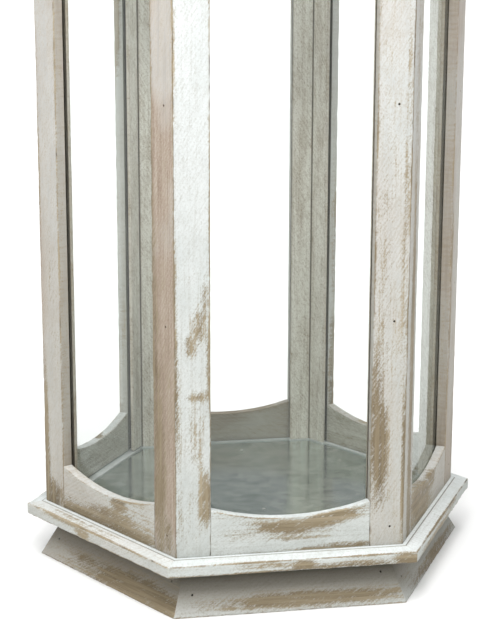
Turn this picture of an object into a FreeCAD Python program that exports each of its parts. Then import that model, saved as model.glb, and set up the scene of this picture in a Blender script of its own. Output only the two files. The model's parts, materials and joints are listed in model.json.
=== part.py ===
import FreeCAD, Part
import math
import os

# A hexagonal wooden candle lantern, in millimetres, +Z up.
# The origin is the centre of the foot of the skirt, where the lantern rests.
# The front face looks along -Y. A hexagon corner points along each of -X and +X.
# Each side of the hexagon is described in its own frame:
#   t      along the side, to the right for someone who faces the side from outside,
#   depth  inwards from the outer face of the glazed frame (negative is outside it),
#   z      height.

# ---- Driving dimensions -----------------------------------------------------
SIDE = 165.0               # side, and so corner radius, of the hexagon of frames
FRAME_HEIGHT = 480.0       # height of the glazed frames
STILE_WIDTH = 25.0
STILE_DEPTH = 13.5
LIP = 7.8                  # wood in front of the glass, and thickness of a rail
GLASS = 2.0
GLASS_SIDE_PLAY = 0.4      # between an edge of a pane and the bottom of its groove
GLASS_TOP_PLAY = 0.3
GROOVE_WIDTH = 2.6
GROOVE_DEPTH = 6.0
RAIL_END_HEIGHT = 33.8     # height of a rail where it meets its stiles
RAIL_MID_HEIGHT = 25.0     # height of a rail under the middle of its scooped edge

BOARD = 10.0               # thickness of the base board and of the top board
BOARD_STEP = 2.5           # board that shows between a frame and the rim moulding
RIM_WIDTH = 10.5
RIM_TOP_FALL = 1.3         # how far the rim's top slopes down to its outer edge
RIM_EASE = 1.2             # flat cut along the rim's outer edges
RIM_DROP = 0.2             # from the board's top down to the rim's top
SKIRT_HEIGHT = 33.5
SKIRT_TOP_RADIUS = 149.0   # corner radius of the skirt's outer faces under the board
SKIRT_FOOT_RADIUS = 170.4  # the same at the foot
SKIRT_BOARD = 11.4         # horizontal thickness of a skirt board

SHEET = 0.8                # thickness of the galvanised sheet metal
FLOOR_RECESS = 2.0         # pocket in the base board that takes the floor sheet
FLOOR_EDGE = 0.3           # clearance round the floor sheet

DOOR_GAP = 0.8             # gap between the door and its neighbours along a side
DOOR_CLEARANCE = 1.2       # gap over and under the door
STOP_HEIGHT = 6.5
STOP_WIDTH = 6.0
STOP_GAP = 0.5

HINGE_HEIGHT = 38.0
HINGE_INSET = 70.0         # from the end of the frame to the middle of a hinge
LEAF = 1.2
LEAF_REACH = 16.0          # from the corner to the far edge of a hinge leaf
LEAF_RELIEF = 1.7          # leaf cut back from the corner beside the other's knuckle
TONGUE_STEP = 0.2          # how much thinner the tongue to a knuckle is than its leaf
KNUCKLE_RADIUS = 2.6
KNUCKLE_GAP = 0.4
AXIS_OFFSET = 3.2          # from the corner out to the hinge axis
PIN_RADIUS = 1.2
PIN_RUNNING = 0.05         # running clearance of the pin in the door's knuckle
PIN_FIT = 0.02             # clearance of the pin in the frame's knuckles
PIN_BALL = 1.7
PIN_BALL_RISE = 1.5        # from the end of the knuckles to the middle of a ball
SCREW_SHANK = 1.3
SCREW_HEAD = 2.6
SCREW_LENGTH = 10.0
SCREW_SPREAD = 11.0        # from the middle of a hinge to a screw
SCREW_SET = 9.5            # from the corner to a screw

PULL_T = 67.0              # place of the door pull along the door
PULL_PLATE = 1.2
PULL_RADIUS = 8.0
PULL_STAND = 3.2           # from the stile out to the middle of the pull's eye
PULL_EYE = 2.4             # thickness and radius of the eye
PULL_SHANK = 1.3
PULL_SHANK_LENGTH = 8.0
PULL_RING = 7.0            # ring's radius, to the middle of its wire
PULL_WIRE = 1.0
PULL_RING_PLAY = 0.4       # between the ring's wire and its eye

MAGNET_RADIUS = 2.5
MAGNET_LENGTH = 3.0
PLATE_RADIUS = 3.8
PLATE = 0.8
PLATE_INSET = 0.8          # from the end of the door's stile to the catch plate

VENT_RADIUS = 45.0         # hole in the top board
ROOF_INSET = 4.0           # from the frame's outer face in to the roof's band
ROOF_BAND = 9.0            # upright band at the eave
ROOF_FLANGE = 7.0          # flat flange round the foot of the band
ROOF_SLOPE = 36.0          # degrees
ROOF_SCREW = 1.5
ROOF_SCREW_HEAD = 2.9
ROOF_SCREW_LENGTH = 8.0
THROAT = 30.0              # inner half width of the neck at the top of the roof
NECK = 7.0
COLLAR_HEIGHT = 34.0
COLLAR_PLAY = 0.2          # between the neck and the collar inside it
COLLAR_RISE = 0.5          # from the neck's foot up to the collar's foot
SLOT_WIDTH = 5.0
SLOT_HEIGHT = 13.0
SLOT_SPREAD = 7.0          # from the middle of a face of the collar to each slot
SLOT_FOOT = NECK + 4.5     # from the collar's foot to its slots
CAP_HALF_WIDTH = 43.0
CAP_FLAT = 11.0            # half width of the flat top of the cap
CAP_SLOPE = 28.0           # degrees
CAP_BAND = 5.0

EYE_BASE_RADIUS = 9.0
EYE_BASE = 2.0
EYE_THICKNESS = 5.0
EYE_HEIGHT = 10.0          # from the flat of the cap to the middle of the eye's hole
EYE_RADIUS = 6.5
EYE_HOLE = 3.1
EYE_SHANK = 3.0
EYE_SHANK_LENGTH = 7.8
NUT_HALF_WIDTH = 5.0
NUT_HEIGHT = 4.5
RING_RADIUS = 30.0         # to the middle of the wire
RING_WIRE = 2.5
RING_LAY = 28.0            # degrees below level at which the ring lies on the cap

BRAD_RADIUS = 0.6
BRAD_HEAD = 0.7            # radius of the head
BRAD_LENGTH = 16.0
BRAD_HEAD_HEIGHT = 0.8
BRAD_SET = 0.8             # how far a brad is sunk under the surface
BRAD_ROWS = 4
BRAD_END = 14.0            # from the end of a frame to its first brad
BRAD_INSET = 10.0          # from the corner to a brad's head
HOLE_EASE = 0.05           # radial clearance round brads, screws and spigots

# ---- Sizes that follow ------------------------------------------------------
COS30 = math.cos(math.radians(30))
TAN30 = math.tan(math.radians(30))
APOTHEM = SIDE * COS30
FOOT = SKIRT_HEIGHT + BOARD              # underside of the frames
HEAD = FOOT + FRAME_HEIGHT               # top of the frames
FLOOR = FOOT - FLOOR_RECESS + SHEET      # top of the floor sheet
ROOF_FOOT = HEAD + BOARD
OPENING = SIDE / 2 - STILE_WIDTH         # half width between the stiles of a side
GLASS_BACK = LIP + (GROOVE_WIDTH + GLASS) / 2
BAY_DEPTH = GLASS_BACK + FLOOR_EDGE      # where the floor's pocket ends behind a pane

FACES = {"front": -90, "front_right": -30, "back_right": 30, "back": 90, "front_left": 210}
DOOR_FACE = 150


# ---- Shared shapes ----------------------------------------------------------
def on_side(shape, heading):
    """Turn a shape made on the front side to the side whose outside faces heading."""
    turned = shape.copy()
    turned.rotate(FreeCAD.Vector(0, 0, 0), FreeCAD.Vector(0, 0, 1), heading + 90)
    return turned


def front(t, depth, z):
    """A point on the front side."""
    return FreeCAD.Vector(t, depth - APOTHEM, z)


def polygon(points):
    return Part.Face(Part.makePolygon(points + points[:1]))


def hexagon(half_width, z):
    """A hexagon's outline with the given distance from its middle to its sides."""
    radius = half_width / COS30
    corners = []
    for step in range(6):
        angle = math.radians(60 * step)
        corners.append(FreeCAD.Vector(radius * math.cos(angle), radius * math.sin(angle), z))
    return Part.makePolygon(corners + corners[:1])


def hexagon_prism(half_width, low, high):
    return Part.Face(hexagon(half_width, low)).extrude(FreeCAD.Vector(0, 0, high - low))


def hexagon_taper(half_widths_and_heights):
    """A solid through hexagons, each given as (half width, z), with flat faces."""
    outlines = [hexagon(half_width, z) for half_width, z in half_widths_and_heights]
    return Part.makeLoft(outlines, True, True)


def mitred_strip(section):
    """A moulding along the front side with mitred ends.

    section is its outline as (distance from the lantern's axis, z).
    """
    half = max(distance for distance, z in section)
    outline = [FreeCAD.Vector(-half, -distance, z) for distance, z in section]
    strip = polygon(outline).extrude(FreeCAD.Vector(2 * half, 0, 0))
    low = min(z for distance, z in section)
    high = max(z for distance, z in section)
    reach = 2 * half
    wedge = polygon([FreeCAD.Vector(0, 0, low),
                     FreeCAD.Vector(-reach * TAN30, -reach, low),
                     FreeCAD.Vector(reach * TAN30, -reach, low)])
    return strip.common(wedge.extrude(FreeCAD.Vector(0, 0, high - low)))


def rod(radius, start, end):
    direction = end - start
    return Part.makeCylinder(radius, direction.Length, start, direction)


def bored(shape, tools):
    """Cut the tools that reach the shape out of it."""
    near = [tool for tool in tools if tool.BoundBox.intersect(shape.BoundBox)]
    if not near:
        return shape
    return shape.cut(Part.makeCompound(near)).Solids[0]


def write(name, shapes):
    solids = shapes if isinstance(shapes, list) else [shapes]
    shape = solids[0] if len(solids) == 1 else Part.makeCompound(solids)
    if not shape.isValid():
        raise ValueError("%s isn't a valid shape" % name)
    shape.exportStep("parts/%s.step" % name)


# ---- Brads ------------------------------------------------------------------
def brad(surface, inward):
    """A brad and the hole that it leaves, driven from a point along a direction."""
    head = surface + inward * BRAD_SET
    tip = head + inward * BRAD_LENGTH
    neck = head + inward * BRAD_HEAD_HEIGHT
    nail = rod(BRAD_RADIUS, head, tip).fuse(rod(BRAD_HEAD, head, neck))
    hole = rod(BRAD_RADIUS + HOLE_EASE, surface - inward, tip + inward * HOLE_EASE)
    counter = rod(BRAD_HEAD + HOLE_EASE, surface - inward, neck + inward * HOLE_EASE)
    return nail, hole.fuse(counter)


def stile_brads():
    """Brads that hold the mitred corners, driven through each side's right stile.

    They slant 30 degrees, which is along the neighbouring side.
    """
    slant = FreeCAD.Vector(0.5, COS30, 0)
    pairs = []
    for face in ("front_left", "front", "front_right", "back_right"):
        for row in range(BRAD_ROWS):
            z = FOOT + BRAD_END + row * (FRAME_HEIGHT - 2 * BRAD_END) / (BRAD_ROWS - 1)
            pair = brad(front(SIDE / 2 - BRAD_INSET, 0, z), slant)
            pairs.append([on_side(item, FACES[face]) for item in pair])
    return pairs


def skirt_brads():
    """Two brads in each skirt board, slanted from its leaning face to its neighbours."""
    run = (SKIRT_FOOT_RADIUS - SKIRT_TOP_RADIUS) * COS30
    inward = FreeCAD.Vector(0, SKIRT_HEIGHT, -run)
    inward.normalize()
    pairs = []
    for heading in list(FACES.values()) + [DOOR_FACE]:
        for end, share in ((-1, 0.42), (1, 0.62)):
            radius = SKIRT_FOOT_RADIUS + (SKIRT_TOP_RADIUS - SKIRT_FOOT_RADIUS) * share
            t = end * (radius / 2 - BRAD_INSET)
            slant = inward * COS30 + FreeCAD.Vector(end * 0.5, 0, 0)
            pair = brad(FreeCAD.Vector(t, -radius * COS30, share * SKIRT_HEIGHT), slant)
            pairs.append([on_side(item, heading) for item in pair])
    return pairs


# ---- Base -------------------------------------------------------------------
def skirt_board():
    top = SKIRT_TOP_RADIUS * COS30
    foot = SKIRT_FOOT_RADIUS * COS30
    return mitred_strip([(foot, 0), (top, SKIRT_HEIGHT),
                         (top - SKIRT_BOARD, SKIRT_HEIGHT), (foot - SKIRT_BOARD, 0)])


def rim_strip(low):
    """A rim moulding with eased edges and a top that sheds water outwards."""
    inner = APOTHEM + BOARD_STEP
    outer = inner + RIM_WIDTH
    top = low + BOARD - RIM_DROP
    edge = top - RIM_TOP_FALL
    return mitred_strip([(inner, low), (outer - RIM_EASE, low), (outer, low + RIM_EASE),
                         (outer, edge - RIM_EASE), (outer - RIM_EASE, edge), (inner, top)])


def floor_outline(edge, low, high, bay_depth):
    """The plan of the floor inside the frames, with a bay up to each fixed pane."""
    inside = STILE_DEPTH + edge
    plan = hexagon_prism(APOTHEM - inside, low, high)
    for heading in FACES.values():
        bay = Part.makeBox(2 * (OPENING - edge), 2 * STILE_DEPTH - bay_depth, high - low,
                           front(edge - OPENING, bay_depth, low))
        plan = plan.fuse(on_side(bay, heading))
    return plan.removeSplitter().Solids[0]


def base_board():
    board = hexagon_prism(APOTHEM + BOARD_STEP, SKIRT_HEIGHT, FOOT)
    pocket = floor_outline(0, FOOT - FLOOR_RECESS, FOOT + 1, BAY_DEPTH)
    return board.cut(pocket).Solids[0]


def floor_sheet():
    return floor_outline(FLOOR_EDGE, FOOT - FLOOR_RECESS, FLOOR, BAY_DEPTH + FLOOR_EDGE)


# ---- Glazed frames ----------------------------------------------------------
def stile(hand, gap, low, high):
    """An upright of one side. hand is -1 for the left one and 1 for the right one."""
    corner = SIDE / 2 - gap
    edge = OPENING
    groove = edge + GROOVE_DEPTH
    plan = [(corner, 0), (edge, 0), (edge, LIP), (groove, LIP),
            (groove, LIP + GROOVE_WIDTH), (edge, LIP + GROOVE_WIDTH),
            (edge, STILE_DEPTH), (corner - STILE_DEPTH * TAN30, STILE_DEPTH)]
    outline = [front(hand * t, depth, low) for t, depth in plan]
    return polygon(outline).extrude(FreeCAD.Vector(0, 0, high - low))


def rail(straight, way):
    """A rail with a scooped edge. It stands on z = straight and rises if way is 1."""
    end = straight + way * RAIL_END_HEIGHT
    middle = straight + way * RAIL_MID_HEIGHT
    left_foot = front(-OPENING, 0, straight)
    right_foot = front(OPENING, 0, straight)
    left_end = front(-OPENING, 0, end)
    right_end = front(OPENING, 0, end)
    scoop = Part.Arc(right_end, front(0, 0, middle), left_end).toShape()
    outline = Part.Wire([Part.makeLine(left_foot, right_foot),
                         Part.makeLine(right_foot, right_end),
                         scoop,
                         Part.makeLine(left_end, left_foot)])
    return Part.Face(outline).extrude(FreeCAD.Vector(0, LIP, 0))


def pane(low, high):
    half = OPENING + GROOVE_DEPTH - GLASS_SIDE_PLAY
    depth = GLASS_BACK - GLASS
    return Part.makeBox(2 * half, GLASS, high - low, front(-half, depth, low))


def frame_pieces(gap, low, high):
    return {"stile_left": stile(-1, gap, low, high),
            "stile_right": stile(1, gap, low, high),
            "rail_bottom": rail(low, 1),
            "rail_top": rail(high, -1),
            "pane": pane(low, high - GLASS_TOP_PLAY)}


# ---- Door furniture ---------------------------------------------------------
def hinge_axis():
    """Where the hinge axis crosses z = 0, outside the corner at the door's left edge."""
    heading = math.radians(DOOR_FACE - 30)
    radius = SIDE + AXIS_OFFSET
    return FreeCAD.Vector(radius * math.cos(heading), radius * math.sin(heading), 0)


def hinge_leaf(hand, middle, knuckles, bore):
    """One leaf in the front side's frame, at its left (-1) or right (1) corner.

    knuckles lists the (low, high) heights of its own barrels.
    """
    low = middle - HINGE_HEIGHT / 2
    plate_width = LEAF_REACH - LEAF_RELIEF
    near = hand * (SIDE / 2 - LEAF_RELIEF)
    plate = Part.makeBox(plate_width, LEAF, HINGE_HEIGHT,
                         front(min(near, near - hand * plate_width), -LEAF, low))
    axis_t = hand * (SIDE / 2 + AXIS_OFFSET / 2)
    axis_depth = -AXIS_OFFSET * COS30
    leaf = plate
    for bottom, top in knuckles:
        barrel = Part.makeCylinder(KNUCKLE_RADIUS, top - bottom, front(axis_t, axis_depth, bottom))
        tongue = Part.makeBox(abs(axis_t - near), LEAF - TONGUE_STEP, top - bottom,
                              front(min(near, axis_t), -LEAF, bottom))
        leaf = leaf.fuse([barrel, tongue])
    hole = Part.makeCylinder(bore, HINGE_HEIGHT + 2, front(axis_t, axis_depth, low - 1))
    leaf = leaf.cut(hole)
    for height in screw_heights(middle):
        leaf = leaf.cut(screw(hand, height, HOLE_EASE))
    return leaf.removeSplitter().Solids[0]


def screw_heights(middle):
    return (middle - SCREW_SPREAD, middle + SCREW_SPREAD)


def screw(hand, z, ease):
    """A countersunk screw in a hinge leaf, or with some ease the hole that takes it."""
    t = hand * (SIDE / 2 - SCREW_SET)
    inward = FreeCAD.Vector(0, 1, 0)
    head = Part.makeCone(SCREW_HEAD + ease, SCREW_SHANK + ease, LEAF, front(t, -LEAF, z), inward)
    shank = rod(SCREW_SHANK + ease, front(t, 0, z), front(t, SCREW_LENGTH + ease, z))
    return head.fuse(shank).removeSplitter().Solids[0]


def hinge_parts():
    """Leaves, pins and screws of the two hinges, by node name."""
    parts = {name: [] for name in ("hinge_frame_leaves", "hinge_door_leaves", "hinge_pins",
                                   "hinge_frame_screws", "hinge_door_screws")}
    third = HINGE_HEIGHT / 3
    for middle in (FOOT + HINGE_INSET, HEAD - HINGE_INSET):
        low = middle - HINGE_HEIGHT / 2
        high = middle + HINGE_HEIGHT / 2
        outer = [(low, low + third), (high - third, high)]
        inner = [(low + third + KNUCKLE_GAP, high - third - KNUCKLE_GAP)]
        frame_leaf = hinge_leaf(1, middle, outer, PIN_RADIUS + PIN_FIT)
        door_leaf = hinge_leaf(-1, middle, inner, PIN_RADIUS + PIN_RUNNING)
        parts["hinge_frame_leaves"].append(on_side(frame_leaf, FACES["back"]))
        parts["hinge_door_leaves"].append(on_side(door_leaf, DOOR_FACE))
        parts["hinge_pins"].append(hinge_pin(low, high))
        for height in screw_heights(middle):
            parts["hinge_frame_screws"].append(on_side(screw(1, height, 0), FACES["back"]))
            parts["hinge_door_screws"].append(on_side(screw(-1, height, 0), DOOR_FACE))
    return parts


def hinge_pin(low, high):
    """A pin with a small ball at each end."""
    axis = hinge_axis()
    up = FreeCAD.Vector(0, 0, 1)
    pin = rod(PIN_RADIUS, axis + up * low, axis + up * high)
    for z in (low - PIN_BALL_RISE, high + PIN_BALL_RISE):
        pin = pin.fuse(Part.makeSphere(PIN_BALL, axis + up * z))
    return pin.removeSplitter().Solids[0]


def pull_axis():
    """Middle of the door pull's eye, outside the door's right stile."""
    return front(PULL_T, -PULL_STAND, (FOOT + HEAD) / 2)


def pull_plate(ease):
    """A round plate with an eye near its top and a shank that is riveted into the stile."""
    centre = pull_axis()
    inward = FreeCAD.Vector(0, 1, 0)
    across = FreeCAD.Vector(1, 0, 0)
    face = centre + inward * PULL_STAND
    shank = rod(PULL_SHANK + ease, face - inward * PULL_PLATE,
                face + inward * (PULL_SHANK_LENGTH + ease))
    if ease:
        return shank
    plate_centre = face - FreeCAD.Vector(0, 0, PULL_RING - 1)
    plate = rod(PULL_RADIUS, plate_centre, plate_centre - inward * PULL_PLATE)
    half = across * (PULL_EYE / 2)
    boss = rod(PULL_EYE, centre - half, centre + half)
    neck = Part.makeBox(PULL_EYE, PULL_STAND, 2 * PULL_EYE,
                        centre - half - FreeCAD.Vector(0, 0, PULL_EYE))
    hole = rod(PULL_WIRE + PULL_RING_PLAY, centre - across * PULL_EYE, centre + across * PULL_EYE)
    return plate.fuse([boss, neck, shank]).cut(hole).removeSplitter().Solids[0]


def pull_ring():
    """The pull's ring, hanging from its eye in front of the plate."""
    down = FreeCAD.Vector(0, 0, -PULL_RING)
    return Part.makeTorus(PULL_RING, PULL_WIRE, pull_axis() + down, FreeCAD.Vector(0, 1, 0))


def catch_t():
    """Middle of the flat inner face of the door's right stile."""
    return (OPENING + SIDE / 2 - STILE_DEPTH * TAN30) / 2


def magnet(ease):
    start = front(catch_t(), STILE_DEPTH + STOP_GAP, HEAD - STOP_HEIGHT / 2)
    return rod(MAGNET_RADIUS + ease, start, start + FreeCAD.Vector(0, MAGNET_LENGTH + ease, 0))


def catch_plate(ease):
    face = front(catch_t(), STILE_DEPTH, HEAD - DOOR_CLEARANCE - PLATE_RADIUS - PLATE_INSET)
    return rod(PLATE_RADIUS + ease, face, face - FreeCAD.Vector(0, PLATE + ease, 0))


def door_stop():
    """The strip under the top board that the head of the closed door rests against."""
    outer = APOTHEM - STILE_DEPTH - STOP_GAP
    inner = outer - STOP_WIDTH
    strip = mitred_strip([(outer, HEAD - STOP_HEIGHT), (outer, HEAD),
                          (inner, HEAD), (inner, HEAD - STOP_HEIGHT)])
    return bored(strip, [magnet(0)])


# ---- Top --------------------------------------------------------------------
def roof_screw(ease):
    """A pan head screw through the middle of one side of the roof's flange."""
    start = front(0, ROOF_INSET - ROOF_FLANGE / 2, ROOF_FOOT + SHEET)
    down = FreeCAD.Vector(0, 0, -1)
    shank = rod(ROOF_SCREW + ease, start, start + down * (ROOF_SCREW_LENGTH + ease))
    if ease:
        return shank
    return shank.fuse(rod(ROOF_SCREW_HEAD, start, start - down * ROOF_SCREW_HEAD / 2)).Solids[0]


def top_board(holes):
    board = hexagon_prism(APOTHEM + BOARD_STEP, HEAD, ROOF_FOOT)
    vent = Part.makeCylinder(VENT_RADIUS, BOARD + 2, FreeCAD.Vector(0, 0, HEAD - 1))
    return bored(board.cut(vent), holes)


def roof_heights():
    """Heights of the top of the band and of the foot of the neck."""
    eave = ROOF_FOOT + ROOF_BAND
    rise = (APOTHEM - ROOF_INSET - THROAT) * math.tan(math.radians(ROOF_SLOPE))
    return eave, eave + rise


def roof_sheet(holes):
    """The pyramid roof: a flange, an upright band, six slopes and a neck."""
    half = APOTHEM - ROOF_INSET
    eave, neck = roof_heights()
    thin = SHEET * math.tan(math.radians(ROOF_SLOPE / 2))
    outer = hexagon_taper([(half, ROOF_FOOT), (half, eave), (THROAT, neck),
                           (THROAT, neck + NECK)])
    inner = hexagon_taper([(half - SHEET, ROOF_FOOT - 1), (half - SHEET, eave - thin),
                           (THROAT - SHEET, neck - SHEET + thin),
                           (THROAT - SHEET, neck + NECK + 1)])
    flange = hexagon_prism(half + ROOF_FLANGE, ROOF_FOOT, ROOF_FOOT + SHEET)
    return bored(outer.fuse(flange).cut(inner).removeSplitter().Solids[0], holes)


def collar_span():
    """Heights of the foot and the head of the vent collar."""
    neck = roof_heights()[1]
    low = neck + COLLAR_RISE
    return low, low + COLLAR_HEIGHT


def vent_collar():
    """A hexagonal tube in the neck, with two slots in each face."""
    low, high = collar_span()
    outer = THROAT - SHEET - COLLAR_PLAY
    tube = hexagon_prism(outer, low, high)
    tube = tube.cut(hexagon_prism(outer - SHEET, low - 1, high + 1))
    slots = []
    for heading in range(-60, 300, 60):
        for t in (-SLOT_SPREAD, SLOT_SPREAD):
            slot = Part.makeBox(SLOT_WIDTH, 2 * SHEET + 2, SLOT_HEIGHT,
                                FreeCAD.Vector(t - SLOT_WIDTH / 2, -outer - 1, low + SLOT_FOOT))
            slots.append(on_side(slot, heading))
    return tube.cut(Part.makeCompound(slots)).Solids[0]


def cap_heights():
    """Heights of the cap's foot, of the outer edge of its slopes and of its flat top."""
    slope = math.tan(math.radians(CAP_SLOPE))
    seat = THROAT - SHEET - COLLAR_PLAY
    lift = SHEET / math.cos(math.radians(CAP_SLOPE))
    edge = collar_span()[1] - (CAP_HALF_WIDTH - seat) * slope + lift
    return edge - CAP_BAND, edge, edge + (CAP_HALF_WIDTH - CAP_FLAT) * slope


def roof_cap(hole):
    foot, edge, flat = cap_heights()
    thin = SHEET * math.tan(math.radians(CAP_SLOPE / 2))
    outer = hexagon_taper([(CAP_HALF_WIDTH, foot), (CAP_HALF_WIDTH, edge), (CAP_FLAT, flat)])
    inner = hexagon_taper([(CAP_HALF_WIDTH - SHEET, foot - 1), (CAP_HALF_WIDTH - SHEET, edge - thin),
                           (CAP_FLAT - thin, flat - SHEET)])
    return bored(outer.cut(inner).Solids[0], [hole])


def eye_centre():
    return FreeCAD.Vector(0, 0, cap_heights()[2] + EYE_HEIGHT)


def handle_eye():
    """A lug with a cross hole on a round base, with a threaded shank through the cap."""
    centre = eye_centre()
    flat = cap_heights()[2]
    across = FreeCAD.Vector(1, 0, 0)
    half = across * (EYE_THICKNESS / 2)
    base = Part.makeCylinder(EYE_BASE_RADIUS, EYE_BASE, FreeCAD.Vector(0, 0, flat))
    stem = Part.makeBox(EYE_THICKNESS, 2 * EYE_RADIUS, EYE_HEIGHT,
                        FreeCAD.Vector(-EYE_THICKNESS / 2, -EYE_RADIUS, flat))
    boss = rod(EYE_RADIUS, centre - half, centre + half)
    shank = rod(EYE_SHANK, FreeCAD.Vector(0, 0, flat - EYE_SHANK_LENGTH), FreeCAD.Vector(0, 0, flat))
    hole = rod(EYE_HOLE, centre - across * EYE_THICKNESS, centre + across * EYE_THICKNESS)
    return base.fuse([stem, boss, shank]).cut(hole).removeSplitter().Solids[0]


def eye_hole():
    flat = cap_heights()[2]
    return rod(EYE_SHANK + HOLE_EASE, FreeCAD.Vector(0, 0, flat - 5), FreeCAD.Vector(0, 0, flat + 1))


def handle_nut():
    under = cap_heights()[2] - SHEET
    nut = hexagon_prism(NUT_HALF_WIDTH, under - NUT_HEIGHT, under)
    return nut.cut(rod(EYE_SHANK + HOLE_EASE, FreeCAD.Vector(0, 0, under - 6),
                       FreeCAD.Vector(0, 0, under + 1)))


def ring_handle():
    """The ring, hanging back from the eye so that it lies on the cap's back slope."""
    lay = math.radians(RING_LAY)
    back = FreeCAD.Vector(0, math.cos(lay), -math.sin(lay))
    facing = FreeCAD.Vector(0, math.sin(lay), math.cos(lay))
    return Part.makeTorus(RING_RADIUS, RING_WIRE, eye_centre() + back * RING_RADIUS, facing)


# ---- Write the sub-parts ----------------------------------------------------
os.makedirs("parts", exist_ok=True)

brads = stile_brads() + skirt_brads()
brad_holes = [hole for nail, hole in brads]
write("brads", [nail.removeSplitter().Solids[0] for nail, hole in brads])

for face, heading in list(FACES.items()) + [("back_left", DOOR_FACE)]:
    write("skirt_board_" + face, bored(on_side(skirt_board(), heading), brad_holes))
headings = list(FACES.values()) + [DOOR_FACE]
write("base_rim", [on_side(rim_strip(SKIRT_HEIGHT), heading) for heading in headings])
write("base_board", base_board())
write("floor_sheet", floor_sheet())

frame_screw_holes = []
door_holes = [on_side(pull_plate(HOLE_EASE), DOOR_FACE), on_side(catch_plate(HOLE_EASE), DOOR_FACE)]
for hinge_middle in (FOOT + HINGE_INSET, HEAD - HINGE_INSET):
    for height in screw_heights(hinge_middle):
        frame_screw_holes.append(on_side(screw(1, height, HOLE_EASE), FACES["back"]))
        door_holes.append(on_side(screw(-1, height, HOLE_EASE), DOOR_FACE))

for face, heading in FACES.items():
    for piece, shape in frame_pieces(0, FOOT, HEAD).items():
        write(face + "_" + piece, bored(on_side(shape, heading), brad_holes + frame_screw_holes))
door = frame_pieces(DOOR_GAP, FOOT + DOOR_CLEARANCE, HEAD - DOOR_CLEARANCE)
for piece, shape in door.items():
    write("door_" + piece, bored(on_side(shape, DOOR_FACE), door_holes))

for name, shapes in hinge_parts().items():
    write(name, shapes)
write("door_pull_plate", on_side(pull_plate(0), DOOR_FACE))
write("door_pull_ring", on_side(pull_ring(), DOOR_FACE))
write("door_stop", on_side(door_stop(), DOOR_FACE))
write("catch_magnet", on_side(magnet(0), DOOR_FACE))
write("catch_plate", on_side(catch_plate(0), DOOR_FACE))

roof_holes = [on_side(roof_screw(HOLE_EASE), heading) for heading in headings]
write("top_board", top_board(roof_holes))
write("top_rim", [on_side(rim_strip(HEAD), heading) for heading in headings])
write("roof_sheet", roof_sheet(roof_holes))
write("roof_screws", [on_side(roof_screw(0), heading) for heading in headings])
write("vent_collar", vent_collar())
write("roof_cap", roof_cap(eye_hole()))
write("handle_eye", handle_eye())
write("handle_nut", handle_nut())
write("ring_handle", ring_handle())

axis = hinge_axis()
centre = eye_centre()
pull = on_side(Part.Vertex(pull_axis()), DOOR_FACE).Point
print("pull axis at", round(pull.x, 3), round(pull.y, 3), round(pull.z, 3))
print("door hinge axis at", round(axis.x, 3), round(axis.y, 3))
print("ring axis at", round(centre.x, 3), round(centre.y, 3), round(centre.z, 3))
print("height of the frames from", FOOT, "to", HEAD, "and cap heights", cap_heights())
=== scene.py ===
import json
import math
import random
from types import SimpleNamespace

import bmesh
import bpy
from mathutils import Matrix, Vector, noise


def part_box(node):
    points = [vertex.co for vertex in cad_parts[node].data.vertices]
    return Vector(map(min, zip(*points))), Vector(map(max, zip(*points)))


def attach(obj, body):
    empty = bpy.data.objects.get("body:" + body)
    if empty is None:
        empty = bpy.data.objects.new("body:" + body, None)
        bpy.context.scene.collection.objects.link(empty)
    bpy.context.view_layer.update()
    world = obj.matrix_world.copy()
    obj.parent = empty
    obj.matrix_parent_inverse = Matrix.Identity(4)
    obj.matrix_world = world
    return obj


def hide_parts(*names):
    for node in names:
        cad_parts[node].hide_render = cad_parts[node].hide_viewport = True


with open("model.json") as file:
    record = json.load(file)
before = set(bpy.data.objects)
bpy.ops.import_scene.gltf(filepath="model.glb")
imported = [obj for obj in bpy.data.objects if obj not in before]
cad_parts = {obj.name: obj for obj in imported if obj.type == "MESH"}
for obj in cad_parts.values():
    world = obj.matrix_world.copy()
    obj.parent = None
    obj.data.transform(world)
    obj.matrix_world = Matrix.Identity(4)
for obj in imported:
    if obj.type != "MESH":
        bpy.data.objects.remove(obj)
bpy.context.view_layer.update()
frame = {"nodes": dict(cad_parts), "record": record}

# A whitewashed wooden candle lantern. Everything is in metres, in the CAD's frame.
# The front side of the hexagon looks along -Y. Wooden boards are described on that side:
#   t       along the side, to the right for someone who faces it from outside,
#   depth   inwards from the outer face of the glazed frame,
#   z       height,
# and are then turned about the lantern's axis to their own side.
MM = 0.001
FACES = {"front": -90, "front_right": -30, "back_right": 30, "back": 90, "front_left": 210}
DOOR_HEADING = 150
TAN30 = math.tan(math.radians(30))


# ---- Measures taken from the frame ------------------------------------------
def side_box(node, heading):
    """Lowest and highest corner of a CAD node after its side is turned to the front."""
    turn = Matrix.Rotation(math.radians(-heading - 90), 4, "Z")
    points = [turn @ vertex.co for vertex in frame["nodes"][node].data.vertices]
    low = Vector([min(point[axis] for point in points) for axis in range(3)])
    high = Vector([max(point[axis] for point in points) for axis in range(3)])
    return low, high


stile_low, stile_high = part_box("front_stile_left")
rail_low, rail_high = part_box("front_rail_bottom")
pane_low, pane_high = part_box("front_pane")
SIDE = -2 * stile_low.x
APOTHEM = -stile_low.y
OPENING = rail_high.x
STILE_DEPTH = stile_high.y - stile_low.y
LIP = rail_high.y - rail_low.y
RAIL_END = rail_high.z - rail_low.z
FOOT = stile_low.z
HEAD = stile_high.z

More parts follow.
